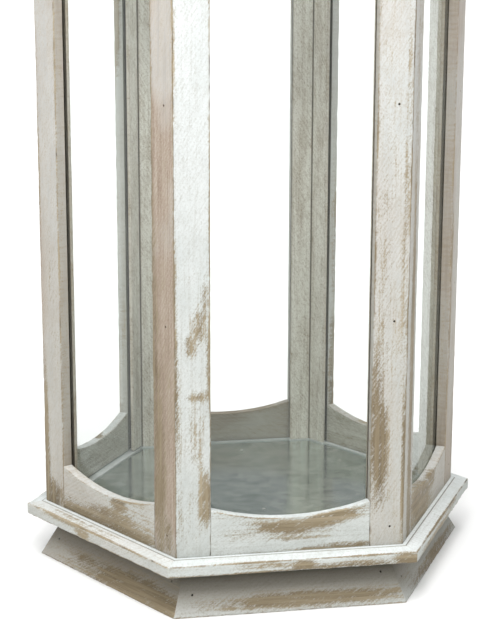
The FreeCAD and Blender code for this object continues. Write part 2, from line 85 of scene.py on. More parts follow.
# ---- Shapes that the frame's boxes don't give -------------------------------
RAIL_MIDDLE = 25.0 * MM        # height of a rail under the middle of its scoop
GROOVE_PLAY = 0.3 * MM         # room for the glass on each side of it
GROOVE_END_PLAY = 0.4 * MM
RIM_FALL = 1.3 * MM            # slope of the rim's top, down to its outer edge
SKIRT_BOARD = 11.4 * MM        # horizontal thickness of a skirt board
BOARD_STEP = 2.5 * MM          # from the frames' outer faces out to the rim
RIM_WIDTH = 20 * MM            # round a rim's section, for its scattered patches
BRAD_INSET = 10.0 * MM         # from a corner to the brads beside it
BRAD_END = 14.0 * MM           # from the end of a frame to its first brad
BRAD_ROWS = 4

# ---- How finely the boards are made -----------------------------------------
STEP = 2.8 * MM                # spacing of vertices on a board's faces
ARRIS_STEP = 0.8 * MM          # spacing of the loops beside an arris
# Distances from a board's end, and how far its arrises are eased in there.
END_EASE = ((0.0, 0.25 * MM), (0.35 * MM, 0.08 * MM), (0.9 * MM, 0.0))
# Loops on both sides of a brad's middle. Other loops keep clear of them.
PIT = (-0.95 * MM, -0.62 * MM, -0.3 * MM, 0.3 * MM, 0.62 * MM, 0.95 * MM)
PIT_CLEARANCE = 1.3 * MM
PIT_RADIUS = 0.75 * MM
PIT_DEPTH = 0.7 * MM

# ---- Wear, dirt and painted shade, where dirt and shade go from 0, none, to 1, black ---
NICK_REACH = 2.4 * MM          # how far from an arris its nicks and dents reach
ARRIS_WEAR = 2.3 * MM          # how far from an arris the wash is rubbed away
CHIP_REACH = 1.2 * MM          # how far from an arris its dark chips reach
CHIP_DIRT = 1.8
SEAM_REACH = 0.5 * MM          # how far dirt reaches from a joint between two boards
SEAM_DIRT = 0.85
END_REACH = 0.3 * MM           # how far dirt reaches from a board's end
END_DIRT = 0.10
# painted shade, near black, on the flats of the glass's groove
GROOVE_SHADE = 0.92
JAMB_SHADE = 0.30               # painted shade on the faces of a stile beside the glass
SKIRT_DIRT = 0.10              # at the foot of the skirt
PAINTED_RIM_SHADOW = 1.10              # painted shadow of the rim, added at the skirt's top
PAINTED_SHADOW_REACH = 38 * MM          # how far down the skirt that goes
PAINTED_FOOT_SHADE = (0.820, 0.815, 0.785)  # multiplies the wash's colour at the lantern's foot: painted shade for the lamps' falloff
SAW_SLANT = math.radians(60)   # of the saw marks, from square across the grain
SCATTERED_PATCHES = 5          # on a board that has none of its own below
FRAME_THIN = 0.1               # how thin the wash is on a board that WASH_THINNESS_AND_SHADE doesn't name
SKIRT_THIN = 0.05
RIM_THIN = 0.0
SKIRT_SEED = 50
RIM_SEEDS = {"base_rim": 60, "top_rim": 70}


# ---- Board sections ---------------------------------------------------------
def divided(low, high, step, extra=()):
    """Places from low to high, close together at both ends and round each extra place."""
    inner_low = low + ARRIS_STEP
    inner_high = high - ARRIS_STEP
    if inner_high - inner_low < ARRIS_STEP:
        return [low, (low + high) / 2, high]
    count = max(1, math.ceil((inner_high - inner_low) / step))
    even = [inner_low + (inner_high - inner_low) * i / count for i in range(count + 1)]
    near = [place for place in extra if low < place < high]
    kept = [place for place in even if all(abs(place - other) > PIT_CLEARANCE for other in near)]
    fine = [place + offset for place in near for offset in PIT]
    return sorted([low] + kept + fine + [high])


def section_ring(corners, pits=()):
    """Points round a board's section.

    corners lists (a, b, ease, exposure): ease is how far the arris is rounded back, and
    exposure is how much wear it takes. Each point is a dict with its place (a, b), its
    outward direction, its distance round from the first corner, its distance from the
    nearest corner, and that corner's exposure and number.
    """
    count = len(corners)
    area = sum(corners[i - 1][0] * corners[i][1] - corners[i][0] * corners[i - 1][1]
               for i in range(count))
    hand = 1 if area > 0 else -1
    ring = []
    around = 0.0
    for i in range(count):
        corner = corners[i]
        following = corners[(i + 1) % count]
        start = Vector(corner[:2])
        end = Vector(following[:2])
        length = (end - start).length
        along = (end - start) / length
        outward = Vector((along.y, -along.x)) * hand
        for place in divided(corner[2], length - following[2], STEP,
                             [pit - around for pit in pits]):
            nearest = i if place < length / 2 else (i + 1) % count
            ring.append({"at": start + along * place, "outward": outward,
                         "around": around + place, "edge": min(place, length - place),
                         "exposure": corners[nearest][3], "corner": nearest})
        after = Vector(corners[(i + 2) % count][:2])
        turned = (after - end).normalized()
        next_outward = Vector((turned.y, -turned.x)) * hand
        ease = following[2]
        for share in (1 / 3, 2 / 3):
            first = end - along * ease * (1 - share)
            second = end + turned * ease * share
            ring.append({"at": first.lerp(second, share),
                         "outward": outward.lerp(next_outward, share).normalized(),
                         "around": around + length, "edge": 0.0,
                         "exposure": following[3], "corner": (i + 1) % count})
        around += length
    return ring


# ---- Wear -------------------------------------------------------------------
def worn_place(along, around, half_along, half_around, strength=1.0):
    """A patch where the wash is rubbed away, by its middle and its half sizes in mm."""
    return (along * MM, around * MM, half_along * MM, half_around * MM, strength)


def patch_strength(places, along, around):
    """How far the wash is rubbed away at a point by the patches near it."""
    strength = 0.0
    for middle_along, middle_around, half_along, half_around, full in places:
        reach = math.hypot((along - middle_along) / half_along, (around - middle_around) / half_around)
        strength = max(strength, full * min(1.0, max(0.0, (1.4 - reach) / 0.85)))
    return strength


def scattered_places(seed, length, width, count):
    """Patches for a board that nobody has singled out, mostly near its edges and ends."""
    draw = random.Random(seed)
    places = []
    for _ in range(count):
        beside = draw.choice((0.0, width)) + draw.uniform(-2, 2) * MM
        half_along = draw.uniform(0.03, 0.16) * length
        half_around = draw.uniform(0.10, 0.45) * width
        along = draw.uniform(0, length)
        places.append((along, beside, half_along, half_around, draw.uniform(0.5, 1.0)))
    return places


# ---- Boards -----------------------------------------------------------------
class Board:
    """One wooden board as vertices, faces and what its material needs at each vertex."""

    def __init__(self, ring, stations, place, heading, seed, upright=False):
        self.ring = ring
        self.stations = stations
        self.place = place
        self.upright = upright
        self.turn = Matrix.Rotation(math.radians(heading + 90), 4, "Z")
        self.seed = seed
        self.offset = Vector((seed * 3.7, seed * 1.9, seed * 5.3))
        self.vertices = []
        self.grain = []
        self.wear = []
        self.thin = []
        self.dirt_and_shade = []
        self.inside = []

    def build(self, places=(), pits=(), thin=0.0, dark_flats=(), jambs=(), inside=(), seams=(),
              rough=1.0, painted_shadow_depth=0.0):
        """Work out every vertex.

        places are worn patches, pits the (along, around) of the brads, thin says how thin
        the wash is, dark_flats, jambs and inside name the flats (by the number of the corner
        that they start from) in a groove, beside the glass or facing the candle, where the flats in
        a groove and beside the glass get painted shade, seams names the corners that meet another
        board, rough scales the chips along the arrises, and painted_shadow_depth is how far the
        rim's painted shadow reaches round from the first corner.
        """
        first = self.stations[0]
        last = self.stations[-1]
        for station in self.stations:
            end = min(station - first, last - station)
            for point in self.ring:
                shift = Vector((station * 60, point["corner"] * 7.3, self.seed))
                pit = pit_share(pits, station, point["around"])
                inward = end_inset(end) + self.nicked(point, shift, rough) + pit * PIT_DEPTH
                at = point["at"] - point["outward"] * inward
                spot = self.place(at.x, at.y, station)
                self.vertices.append(self.turn @ spot)
                along, across = (spot.z, spot.x) if self.upright else (spot.x, spot.z)
                self.grain.append((along + self.seed * 0.37, across, spot.y))
                patch = patch_strength(places, station - first, point["around"])
                self.wear.append(max(self.rubbed(point, station), patch))
                self.thin.append(thin)
                # On a skirt board: painted shadow of the rim, darkest at its top, over a little dirt.
                shade = 0.0
                if painted_shadow_depth:
                    shade = SKIRT_DIRT + PAINTED_RIM_SHADOW * max(0.0, 1 - point["around"] / painted_shadow_depth)
                at_seam = point["corner"] in seams and point["edge"] < SEAM_REACH
                # Dirt in brad holes, chips, joints and board ends, with painted shade in the groove,
                # beside the glass and under the rim.
                dirt_and_shade = max(pit, shade, self.chipped(point, shift, rough),
                           SEAM_DIRT if at_seam else 0.0,
                           GROOVE_SHADE if point["flat"] in dark_flats else 0.0,
                           JAMB_SHADE if point["flat"] in jambs else 0.0,
                           END_DIRT if end < END_REACH else 0.0)
                self.dirt_and_shade.append(min(1.0, dirt_and_shade))
                self.inside.append(1.0 if point["flat"] in inside else 0.0)

    def nicked(self, point, shift, rough):
        """How far the nicks and dents along an arris cut in at a point."""
        if point["edge"] >= NICK_REACH:
            return 0.0
        share = (1 - point["edge"] / NICK_REACH) ** 2
        nick = max(0.0, noise.noise(shift * 4 + self.offset) - 0.22) * 1.3
        dent = max(0.0, noise.noise(shift + self.offset)) * 0.7
        return (nick + dent) * share * point["exposure"] * rough * MM

    def rubbed(self, point, station):
        """How far the wash is rubbed away along an arris."""
        rub = point["exposure"] * max(0.0, 1 - point["edge"] / ARRIS_WEAR)
        spot = Vector((station * 22, point["corner"] * 3.1, self.seed * 2.3))
        return rub * (0.80 + 0.75 * noise.noise(spot))

    def chipped(self, point, shift, rough):
        """Dirt in the chips along an arris."""
        chip = point["exposure"] * max(0.0, 1 - point["edge"] / CHIP_REACH)
        return chip * (CHIP_DIRT * rough * max(0.0, noise.noise(shift * 2.5 - self.offset) + 0.1))

    def faces(self, start):
        """Quads along the board and one face at each end, numbered from start."""
        count = len(self.ring)
        rows = len(self.stations)
        quads = []
        for row in range(rows - 1):
            low = start + row * count
            for i in range(count):
                j = (i + 1) % count
                quads.append((low + i, low + j, low + count + j, low + count + i))
        quads.append(tuple(range(start, start + count)))
        quads.append(tuple(range(start + (rows - 1) * count, start + rows * count)))
        return quads


def end_inset(distance):
    """How far a board's arrises are eased in at this distance from its end."""
    for (near, more), (far, less) in zip(END_EASE, END_EASE[1:]):
        if distance <= far:
            return more + (less - more) * (distance - near) / (far - near)
    return 0.0


def pit_share(pits, along, around):
    """1 in a brad's hole and 0 outside it."""
    for pit_along, pit_around in pits:
        if math.hypot(along - pit_along, around - pit_around) < PIT_RADIUS:
            return 1.0
    return 0.0


def number_flats(ring, corners):
    """Give each point the number of the flat that it lies on, which is its first corner."""
    flat = 0
    previous = 0.0
    for point in ring:
        if point["edge"] > 0 and point["around"] > previous:
            lengths = 0.0
            for i, corner in enumerate(corners):
                following = corners[(i + 1) % len(corners)]
                lengths += (Vector(following[:2]) - Vector(corner[:2])).length
                if point["around"] <= lengths:
                    flat = i
                    break
        previous = point["around"]
        point["flat"] = flat
    return ring


def wooden_piece(name, nodes, body, boards):
    """One object made of some boards, which stands for CAD nodes and rides on a body."""
    vertices = []
    faces = []
    for part in boards:
        faces += part.faces(len(vertices))
        vertices += part.vertices
    mesh = bpy.data.meshes.new(name)
    mesh.from_pydata(vertices, [], faces)
    for title, kind in (("grain", "FLOAT_VECTOR"), ("wear", "FLOAT"), ("thin", "FLOAT"),
                        ("dirt_and_shade", "FLOAT"), ("inside", "FLOAT")):
        values = [value for part in boards for value in getattr(part, title)]
        layer = mesh.attributes.new(title, kind, "POINT")
        if kind == "FLOAT_VECTOR":
            layer.data.foreach_set("vector", [number for value in values for number in value])
        else:
            layer.data.foreach_set("value", values)
    shape = bmesh.new()
    shape.from_mesh(mesh)
    bmesh.ops.recalc_face_normals(shape, faces=shape.faces)
    shape.to_mesh(mesh)
    shape.free()
    mesh.shade_smooth()
    mesh.set_sharp_from_angle(angle=math.radians(48))
    piece = bpy.data.objects.new(name, mesh)
    bpy.context.scene.collection.objects.link(piece)
    mesh.materials.append(washed_wood)
    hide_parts(*nodes)
    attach(piece, body)
    return piece


# ---- Node graphs ------------------------------------------------------------
class Graph:
    """A material's nodes, with short calls that add them."""

    def __init__(self, name):
        self.material = bpy.data.materials.new(name)
        self.material.use_nodes = True
        self.tree = self.material.node_tree
        self.tree.nodes.clear()

    def add(self, kind, inputs=None, **settings):
        """Add a node. inputs maps its sockets to other sockets or to plain values."""
        node = self.tree.nodes.new("ShaderNode" + kind)
        for title, value in settings.items():
            setattr(node, title, value)
        for socket, value in (inputs or {}).items():
            self.feed(node.inputs[socket], value)
        return node

    def feed(self, socket, value):
        if isinstance(value, bpy.types.NodeSocket):
            self.tree.links.new(value, socket)
        else:
            socket.default_value = value

    def attribute(self, title, output="Fac"):
        return self.add("Attribute", attribute_name=title).outputs[output]

    def object_place(self):
        return self.add("TexCoord").outputs["Object"]

    def height_of(self, vector):
        return self.add("SeparateXYZ", {0: vector}).outputs[2]

    def maths(self, operation, first, second=0.0, third=0.0, clamp=False):
        node = self.add("Math", {0: first, 1: second, 2: third}, operation=operation)
        node.use_clamp = clamp
        return node.outputs[0]

    def scaled(self, vector, scale):
        return self.add("VectorMath", {0: vector, 1: scale}, operation="MULTIPLY").outputs[0]

    def noise(self, vector, scale=1.0, detail=2.0, roughness=0.5, distortion=0.0):
        inputs = {"Vector": vector, "Scale": scale, "Detail": detail,
                  "Roughness": roughness, "Distortion": distortion}
        return self.add("TexNoise", inputs).outputs["Fac"]

    def step(self, value, low, high, bottom=0.0, top=1.0):
        """Rise smoothly from bottom to top as value goes from low to high."""
        inputs = {"Value": value, "From Min": low, "From Max": high,
                  "To Min": bottom, "To Max": top}
        return self.add("MapRange", inputs, interpolation_type="SMOOTHSTEP").outputs[0]

    def ramp(self, value, stops):
        node = self.add("ValToRGB", {0: value})
        while len(node.color_ramp.elements) < len(stops):
            node.color_ramp.elements.new(1.0)
        for element, (position, colour) in zip(node.color_ramp.elements, stops):
            element.position = position
            element.color = (*colour, 1.0)
        return node.outputs[0]

    def mix(self, share, first, second, blend="MIX"):
        node = self.add("Mix", data_type="RGBA", blend_type=blend)
        self.feed(node.inputs["Factor"], share)
        for title, colour in (("A", first), ("B", second)):
            linked = isinstance(colour, bpy.types.NodeSocket)
            self.feed(node.inputs[title], colour if linked else (*colour, 1.0))
        return node.outputs["Result"]

    def bump(self, height, distance, strength=1.0):
        inputs = {"Height": height, "Distance": distance, "Strength": strength}
        return self.add("Bump", inputs).outputs[0]

    def finish(self, shader):
        output = self.add("OutputMaterial", {"Surface": shader})
        output.is_active_output = True
        return self.material


# ---- Wood -------------------------------------------------------------------
def wood_textures(graph, grain):
    """The patterns in a washed board. The grain runs along the first component of its vector."""
    fibre = graph.noise(graph.scaled(grain, (22, 620, 620)), detail=3, roughness=0.6)
    figure = graph.noise(graph.scaled(grain, (5, 95, 95)), detail=4, distortion=0.5)
    pores = graph.noise(graph.scaled(grain, (160, 2100, 2100)), detail=1)
    blotch = graph.noise(graph.scaled(grain, (42, 75, 75)), detail=6, roughness=0.68)
    cloud = graph.noise(graph.scaled(grain, (9, 16, 16)), detail=3)
    speckle = graph.noise(graph.scaled(grain, (780, 900, 900)), detail=2, roughness=0.7)

    slanted = graph.add("Mapping", {"Vector": grain, "Rotation": (0.0, 0.0, SAW_SLANT)}).outputs[0]
    saw_inputs = {"Vector": slanted, "Scale": 125.0, "Distortion": 5.0,
                  "Detail": 3.0, "Detail Scale": 1.6, "Detail Roughness": 0.7}
    saw = graph.add("TexWave", saw_inputs, wave_type="BANDS", bands_direction="X").outputs["Fac"]
    sawn = graph.maths("MULTIPLY", saw, graph.step(cloud, 0.42, 0.62))
    scratch = graph.noise(graph.scaled(slanted, (1000, 90, 90)), detail=3, roughness=0.6)
    return SimpleNamespace(fibre=fibre, figure=figure, pores=pores, blotch=blotch, cloud=cloud,
                           speckle=speckle, sawn=sawn, scratch=scratch)


def wash_colour(graph, wood, thin, inside):
    """White wash, beige where it is thin, with the wood showing through in specks and streaks."""
    mottle = graph.maths("MULTIPLY_ADD", wood.blotch, 0.5, graph.maths("MULTIPLY", wood.cloud, 0.5))
    white = graph.ramp(mottle,
                       [(0.36, (0.570, 0.606, 0.602)), (0.50, (0.655, 0.692, 0.690)),
                        (0.62, (0.712, 0.746, 0.748))])
    streaks = graph.maths("MULTIPLY_ADD", wood.fibre, 0.6, graph.maths("MULTIPLY", wood.speckle, 0.4))
    beige = graph.ramp(streaks,
                       [(0.38, (0.300, 0.226, 0.175)), (0.50, (0.440, 0.357, 0.295)),
                        (0.60, (0.570, 0.498, 0.440))])
    beige_share = graph.maths("MULTIPLY", thin, graph.step(wood.cloud, 0.38, 0.64, 0.55, 1.25), clamp=True)
    wash = graph.mix(beige_share, white, beige)
    inner_share = graph.maths("MULTIPLY", inside, graph.step(thin, 0.0, 1.0, 0.80, 0.15))
    wash = graph.mix(inner_share, wash, (0.900, 0.880, 0.800))
    showing = graph.maths("MULTIPLY_ADD", graph.step(wood.fibre, 0.48, 0.66), 0.26,
                          graph.maths("MULTIPLY", graph.step(wood.speckle, 0.46, 0.66), 0.40))
    showing = graph.maths("MULTIPLY_ADD", graph.step(wood.scratch, 0.48, 0.64), 0.22, showing)
    deeper = graph.maths("MULTIPLY", graph.step(wood.figure, 0.42, 0.62), 0.20)
    deeper = graph.maths("MULTIPLY_ADD", graph.step(wood.blotch, 0.46, 0.60), 0.22, deeper)
    showing = graph.maths("MULTIPLY_ADD", inside, deeper, showing)
    showing = graph.maths("MULTIPLY_ADD", wood.sawn, 0.10, showing, clamp=True)
    under = graph.mix(graph.step(graph.maths("MAXIMUM", thin, inside), 0.0, 0.3),
                      (0.470, 0.478, 0.450), (0.400, 0.342, 0.258))
    wash = graph.mix(showing, wash, under)
    return wash


def rubbed_share(graph, wood, wear):
    """How bare the wood is: the boards' wear, broken up by the patterns."""
    rub = graph.maths("MULTIPLY_ADD", graph.maths("SUBTRACT", wood.blotch, 0.5), 0.9, wear)
    rub = graph.maths("MULTIPLY_ADD", graph.maths("SUBTRACT", wood.fibre, 0.5), 1.1, rub)
    rub = graph.maths("MULTIPLY_ADD", graph.maths("SUBTRACT", wood.speckle, 0.5), 0.9, rub)
    rub = graph.maths("MULTIPLY_ADD", graph.maths("SUBTRACT", wood.scratch, 0.5),
                      graph.maths("MULTIPLY_ADD", wear, 1.3, 0.25), rub)
    return graph.step(rub, 0.24, 0.90)


def wood_finish(name, grain_from_boards):
    """Tan wood under a white wash that is rubbed away in places.

    Boards made here carry their grain's vector. CAD nodes use their own place instead, so
    their grain runs along X.
    """
    graph = Graph(name)
    if grain_from_boards:
        grain = graph.attribute("grain", "Vector")
    else:
        grain = graph.object_place()
    thin = graph.attribute("thin")
    dirt_and_shade = graph.attribute("dirt_and_shade")
    wood = wood_textures(graph, grain)
    wash = wash_colour(graph, wood, thin, graph.attribute("inside"))
    bared = rubbed_share(graph, wood, graph.attribute("wear"))
    rings = graph.maths("MULTIPLY_ADD", wood.fibre, 0.5, graph.maths("MULTIPLY", wood.figure, 0.5))
    bare = graph.ramp(rings,
                      [(0.32, (0.150, 0.113, 0.066)), (0.45, (0.245, 0.193, 0.120)),
                       (0.54, (0.320, 0.262, 0.172)), (0.66, (0.420, 0.356, 0.252))])
    colour = graph.mix(bared, wash, bare)
    colour = graph.mix(graph.maths("MULTIPLY", wood.sawn, graph.maths("MULTIPLY", thin, 0.20)),
                       colour, (0.215, 0.150, 0.105))
    # Painted shade: faces that don't look up grow darker towards the lantern's foot, as the lamps' light
    # falls off with height.
    upward = graph.height_of(graph.add("NewGeometry").outputs["Normal"])
    painted_falloff = graph.maths("MULTIPLY", graph.step(graph.height_of(graph.object_place()), HEAD, 0.0),
                        graph.step(upward, 0.3, 0.9, 1.0, 0.0))
    colour = graph.mix(painted_falloff, colour, PAINTED_FOOT_SHADE, "MULTIPLY")
    # Dirt is brown to near black, and the dark end is mostly painted shade: the rim's shadow on the skirt
    # and the glass's groove.
    dirt_and_shade_colour = graph.ramp(dirt_and_shade, [(0.50, (0.200, 0.150, 0.090)), (0.90, (0.055, 0.042, 0.022)),
                             (1.0, (0.020, 0.017, 0.014))])
    dirt_and_shade_share = graph.maths("MULTIPLY", dirt_and_shade, graph.step(bared, 0.0, 1.0, 1.0, 0.30), clamp=True)
    colour = graph.mix(dirt_and_shade_share, colour, dirt_and_shade_colour)

    roughness = graph.maths("MULTIPLY_ADD", wood.blotch, 0.25, graph.step(bared, 0.0, 1.0, 0.56, 0.46))
    height = graph.maths("MULTIPLY_ADD", wood.fibre, 0.35, graph.maths("MULTIPLY", wood.pores, 0.2))
    height = graph.maths("MULTIPLY_ADD", wood.speckle, 0.25, height)
    height = graph.maths("MULTIPLY_ADD", bared, -0.45, height)
    height = graph.maths("MULTIPLY_ADD", wood.sawn, -0.2, height)
    normal = graph.bump(height, 0.25 * MM, 0.7)
    shader = graph.add("BsdfPrincipled", {"Base Color": colour, "Roughness": roughness,
                                          "Normal": normal, "Specular IOR Level": 0.35})
    return graph.finish(shader.outputs[0])


# ---- Metals and glass -------------------------------------------------------
def galvanised_sheet(name, tones, smoothest, roughest):
    """Zinc with a fine spangle, light scratches and pale specks that stand in for small glints."""
    graph = Graph(name)
    place = graph.object_place()
    wander = graph.add("TexNoise", {"Vector": place, "Scale": 130.0, "Detail": 2.0})
    shaken = graph.add("VectorMath", {0: wander.outputs["Color"], 1: (0.006, 0.006, 0.006), 2: place},
                       operation="MULTIPLY_ADD").outputs[0]
    cells = graph.add("TexVoronoi", {"Vector": shaken, "Scale": 120.0}).outputs["Color"]
    cell = graph.add("SeparateColor", {0: cells}).outputs[0]
    cloud = graph.noise(place, 14.0, 4.0, 0.6)
    grit = graph.noise(place, 900.0, 2.0, 0.7)
    scratch = graph.noise(graph.scaled(place, (30, 1300, 600)), 1.0, 2.0, 0.6)
    dots = graph.add("TexVoronoi", {"Vector": place, "Scale": 55.0}).outputs["Distance"]
    rare = graph.noise(place, 38.0, 1.0)
    # Pale specks that stand in for small glints on the sheet.
    glint_specks = graph.maths("MULTIPLY", graph.step(dots, 0.11, 0.06), graph.step(rare, 0.58, 0.62))
    tone = graph.maths("MULTIPLY_ADD", cell, 0.16, graph.maths("MULTIPLY", cloud, 0.65))
    tone = graph.maths("MULTIPLY_ADD", scratch, 0.25, tone)
    base = graph.ramp(tone, list(zip((0.34, 0.50, 0.66), tones)))
    colour = graph.mix(glint_specks, base, (0.780, 0.780, 0.750))
    roughness = graph.maths("MULTIPLY_ADD", cell, 0.05, graph.step(cloud, 0.3, 0.7, smoothest, roughest))
    roughness = graph.maths("MULTIPLY_ADD", glint_specks, 0.4, roughness, clamp=True)
    height = graph.maths("MULTIPLY_ADD", glint_specks, 0.25, graph.maths("MULTIPLY", grit, 0.015))
    height = graph.maths("MULTIPLY_ADD", scratch, 0.1, height)
    normal = graph.bump(height, 0.12 * MM, 0.5)
    shader = graph.add("BsdfPrincipled", {"Base Color": colour, "Roughness": roughness,
                                          "Normal": normal, "Metallic": 0.85})
    return graph.finish(shader.outputs[0])


def dark_iron():
    """Blackened, hammered iron with brown rust in its hollows."""
    graph = Graph("dark_iron")
    place = graph.object_place()
    hammered = graph.add("TexVoronoi", {"Vector": place, "Scale": 260.0}, feature="SMOOTH_F1")
    hollow = hammered.outputs["Distance"]
    cloud = graph.noise(place, 120.0, 4.0, 0.65)
    grit = graph.noise(place, 1500.0, 2.0, 0.7)
    tone = graph.maths("MULTIPLY_ADD", grit, 0.4, graph.maths("MULTIPLY", cloud, 0.6))
    black = graph.ramp(tone, [(0.35, (0.020, 0.019, 0.018)), (0.65, (0.058, 0.054, 0.050))])
    rust = graph.step(graph.maths("ADD", cloud, graph.maths("MULTIPLY", grit, 0.3)), 0.70, 0.82)
    colour = graph.mix(graph.maths("MULTIPLY", rust, 0.7), black, (0.160, 0.070, 0.030))
    roughness = graph.step(rust, 0.0, 1.0, 0.42, 0.78)
    roughness = graph.maths("MULTIPLY_ADD", grit, 0.15, roughness, clamp=True)
    height = graph.maths("MULTIPLY_ADD", grit, 0.25, graph.maths("MULTIPLY", hollow, 0.8))
    normal = graph.bump(height, 0.35 * MM, 0.6)
    shader = graph.add("BsdfPrincipled", {"Base Color": colour, "Roughness": roughness,
                                          "Normal": normal, "Metallic": 0.75})
    return graph.finish(shader.outputs[0])


def bright_steel(name, dark, light, metallic):
    """Plain or plated steel with fine turning marks and dull stains."""
    graph = Graph(name)
    place = graph.object_place()
    stain = graph.noise(place, 260.0, 4.0, 0.65)
    marks = graph.noise(graph.scaled(place, (500, 500, 3500)), 1.0, 2.0, 0.5)
    tone = graph.maths("MULTIPLY_ADD", marks, 0.35, graph.maths("MULTIPLY", stain, 0.65))
    colour = graph.ramp(tone, [(0.35, dark), (0.65, light)])
    roughness = graph.step(tone, 0.3, 0.7, 0.52, 0.30)
    normal = graph.bump(marks, 0.05 * MM, 0.4)
    shader = graph.add("BsdfPrincipled", {"Base Color": colour, "Roughness": roughness,
                                          "Normal": normal, "Metallic": metallic})
    return graph.finish(shader.outputs[0])


def window_glass():
    """Thin clear glass with a trace of green, a mirror sheen and a faint film of dust."""
    graph = Graph("window_glass")
    place = graph.object_place()
    smear = graph.noise(graph.scaled(place, (18, 18, 7)), 1.0, 5.0, 0.65, 0.6)
    specks = graph.noise(place, 700.0, 2.0, 0.8)
    clear = graph.add("BsdfTransparent", {"Color": (0.988, 0.994, 0.990, 1.0)}).outputs[0]
    sheen = graph.add("BsdfGlossy", {"Color": (0.95, 1.0, 0.98, 1.0),
                                     "Roughness": graph.step(smear, 0.35, 0.75, 0.015, 0.09)}).outputs[0]
    film = graph.add("BsdfDiffuse", {"Color": (0.70, 0.71, 0.68, 1.0)}).outputs[0]
    outer_side = graph.maths("SUBTRACT", 1.0, graph.add("NewGeometry").outputs["Backfacing"])
    mirror = graph.maths("MULTIPLY", graph.add("Fresnel", {"IOR": 1.45}).outputs[0], outer_side)
    glass = graph.add("MixShader", {0: mirror, 1: clear, 2: sheen}).outputs[0]
    haze = graph.maths("MULTIPLY", graph.step(smear, 0.50, 0.80, 0.002, 0.020),
                       graph.step(specks, 0.35, 0.65, 0.5, 1.5))
    shader = graph.add("MixShader", {0: haze, 1: glass, 2: film})
    return graph.finish(shader.outputs[0])


WEATHERED_ZINC = ((0.235, 0.265, 0.262), (0.330, 0.362, 0.358), (0.450, 0.478, 0.470))
POLISHED_ZINC = ((0.340, 0.410, 0.385), (0.535, 0.605, 0.575), (0.710, 0.765, 0.738))

washed_wood = wood_finish("washed_wood", True)
polished_zinc = galvanised_sheet("polished_zinc", POLISHED_ZINC, 0.08, 0.18)
washed_board = wood_finish("washed_board", False)
FINISHES = {
    "whitewashed_wood": washed_board,
    "window_glass": window_glass(),
    "galvanised_sheet": galvanised_sheet("weathered_zinc", WEATHERED_ZINC, 0.46, 0.62),
    "dark_iron": dark_iron(),
    "zinc_plated_steel": bright_steel("zinc_plated_steel", (0.38, 0.39, 0.40), (0.66, 0.67, 0.68), 1.0),
    "brad_steel": bright_steel("brad_steel", (0.030, 0.027, 0.024), (0.110, 0.100, 0.090), 0.8),
}


# ---- The glazed frames ------------------------------------------------------
def stile_board(node, heading, hand, places, pits, thin, seed):
    """An upright. hand is -1 for a left stile and 1 for a right one."""
    low, high = side_box(node, heading)
    corner = max(abs(low.x), abs(high.x))
    edge = min(abs(low.x), abs(high.x))
    groove_end = pane_high.x + GROOVE_END_PLAY
    groove_front = pane_low.y + APOTHEM - GROOVE_PLAY
    groove_back = pane_high.y + APOTHEM + GROOVE_PLAY
    corners = [(corner, 0.0, 0.35 * MM, 0.85), (edge, 0.0, 0.8 * MM, 0.8),
               (edge, groove_front, 0.3 * MM, 0.15), (groove_end, groove_front, 0.1 * MM, 0.0),
               (groove_end, groove_back, 0.1 * MM, 0.0), (edge, groove_back, 0.4 * MM, 0.15),
               (edge, STILE_DEPTH, 0.8 * MM, 0.3),
               (corner - STILE_DEPTH * TAN30, STILE_DEPTH, 0.4 * MM, 0.1)]
    heights = [low.z + along for along, _ in pits]
    ring = number_flats(section_ring(corners, [around for _, around in pits]), corners)
    stations = station_places(low.z, high.z, heights)

    def place(t, depth, z):
        return Vector((hand * t, depth - APOTHEM, z))

    part = Board(ring, stations, place, heading, seed, upright=True)
    # The groove's flats and the faces beside the glass get painted shade.
    part.build(places, [(low.z + along, around) for along, around in pits], thin,
               dark_flats=(2, 3, 4), jambs=(1, 5), inside=(5, 6), seams=(7,))
    return part


def station_places(low, high, extra=()):
    """Stations along a board, with the eased ends."""
    ends = [distance for distance, _ in END_EASE]
    inner = divided(low + ends[-1], high - ends[-1], STEP, extra)
    return [low + ends[0], low + ends[1]] + inner + [high - ends[1], high - ends[0]]


def rail_rise(t):
    """A rail's height at t, on the arc through its two ends and its middle."""
    rise = RAIL_END - RAIL_MIDDLE
    radius = (OPENING ** 2 + rise ** 2) / (2 * rise)
    return RAIL_MIDDLE + radius - math.sqrt(radius ** 2 - t ** 2)


def rail_board(node, heading, way, places, thin, seed):
    """A rail with a scooped edge, which rises from its straight edge if way is 1."""
    low, high = side_box(node, heading)
    straight = low.z if way > 0 else high.z
    corners = [(0.0, 0.0, 0.4 * MM, 0.5), (0.0, RAIL_MIDDLE, 0.8 * MM, 0.75),
               (LIP, RAIL_MIDDLE, 0.6 * MM, 0.5), (LIP, 0.0, 0.4 * MM, 0.0)]
    ring = number_flats(section_ring(corners), corners)
    stations = station_places(low.x, high.x)

    def place(depth, up, t):
        height = up * rail_rise(t) / RAIL_MIDDLE
        return Vector((t, depth - APOTHEM, straight + way * height))

    part = Board(ring, stations, place, heading, seed)
    part.build(places, (), thin, inside=(2,), rough=0.6)
    return part


# ---- The mouldings ----------------------------------------------------------
def mitred_board(corners, heading, places, pits, thin, seed, rough, seams=(), painted_shadow_depth=0.0):
    """A moulding whose section is in (distance from the axis, z), mitred at both ends."""
    half = max(corner[0] for corner in corners) * TAN30
    ring = number_flats(section_ring(corners, [around for _, around in pits]), corners)
    stations = station_places(-half, half, [along for along, _ in pits])

    def place(distance, z, station):
        return Vector((station / half * distance * TAN30, -distance, z))

    part = Board(ring, stations, place, heading, seed)
    part.build(places, pits, thin, seams=seams, rough=rough, painted_shadow_depth=painted_shadow_depth)
    return part


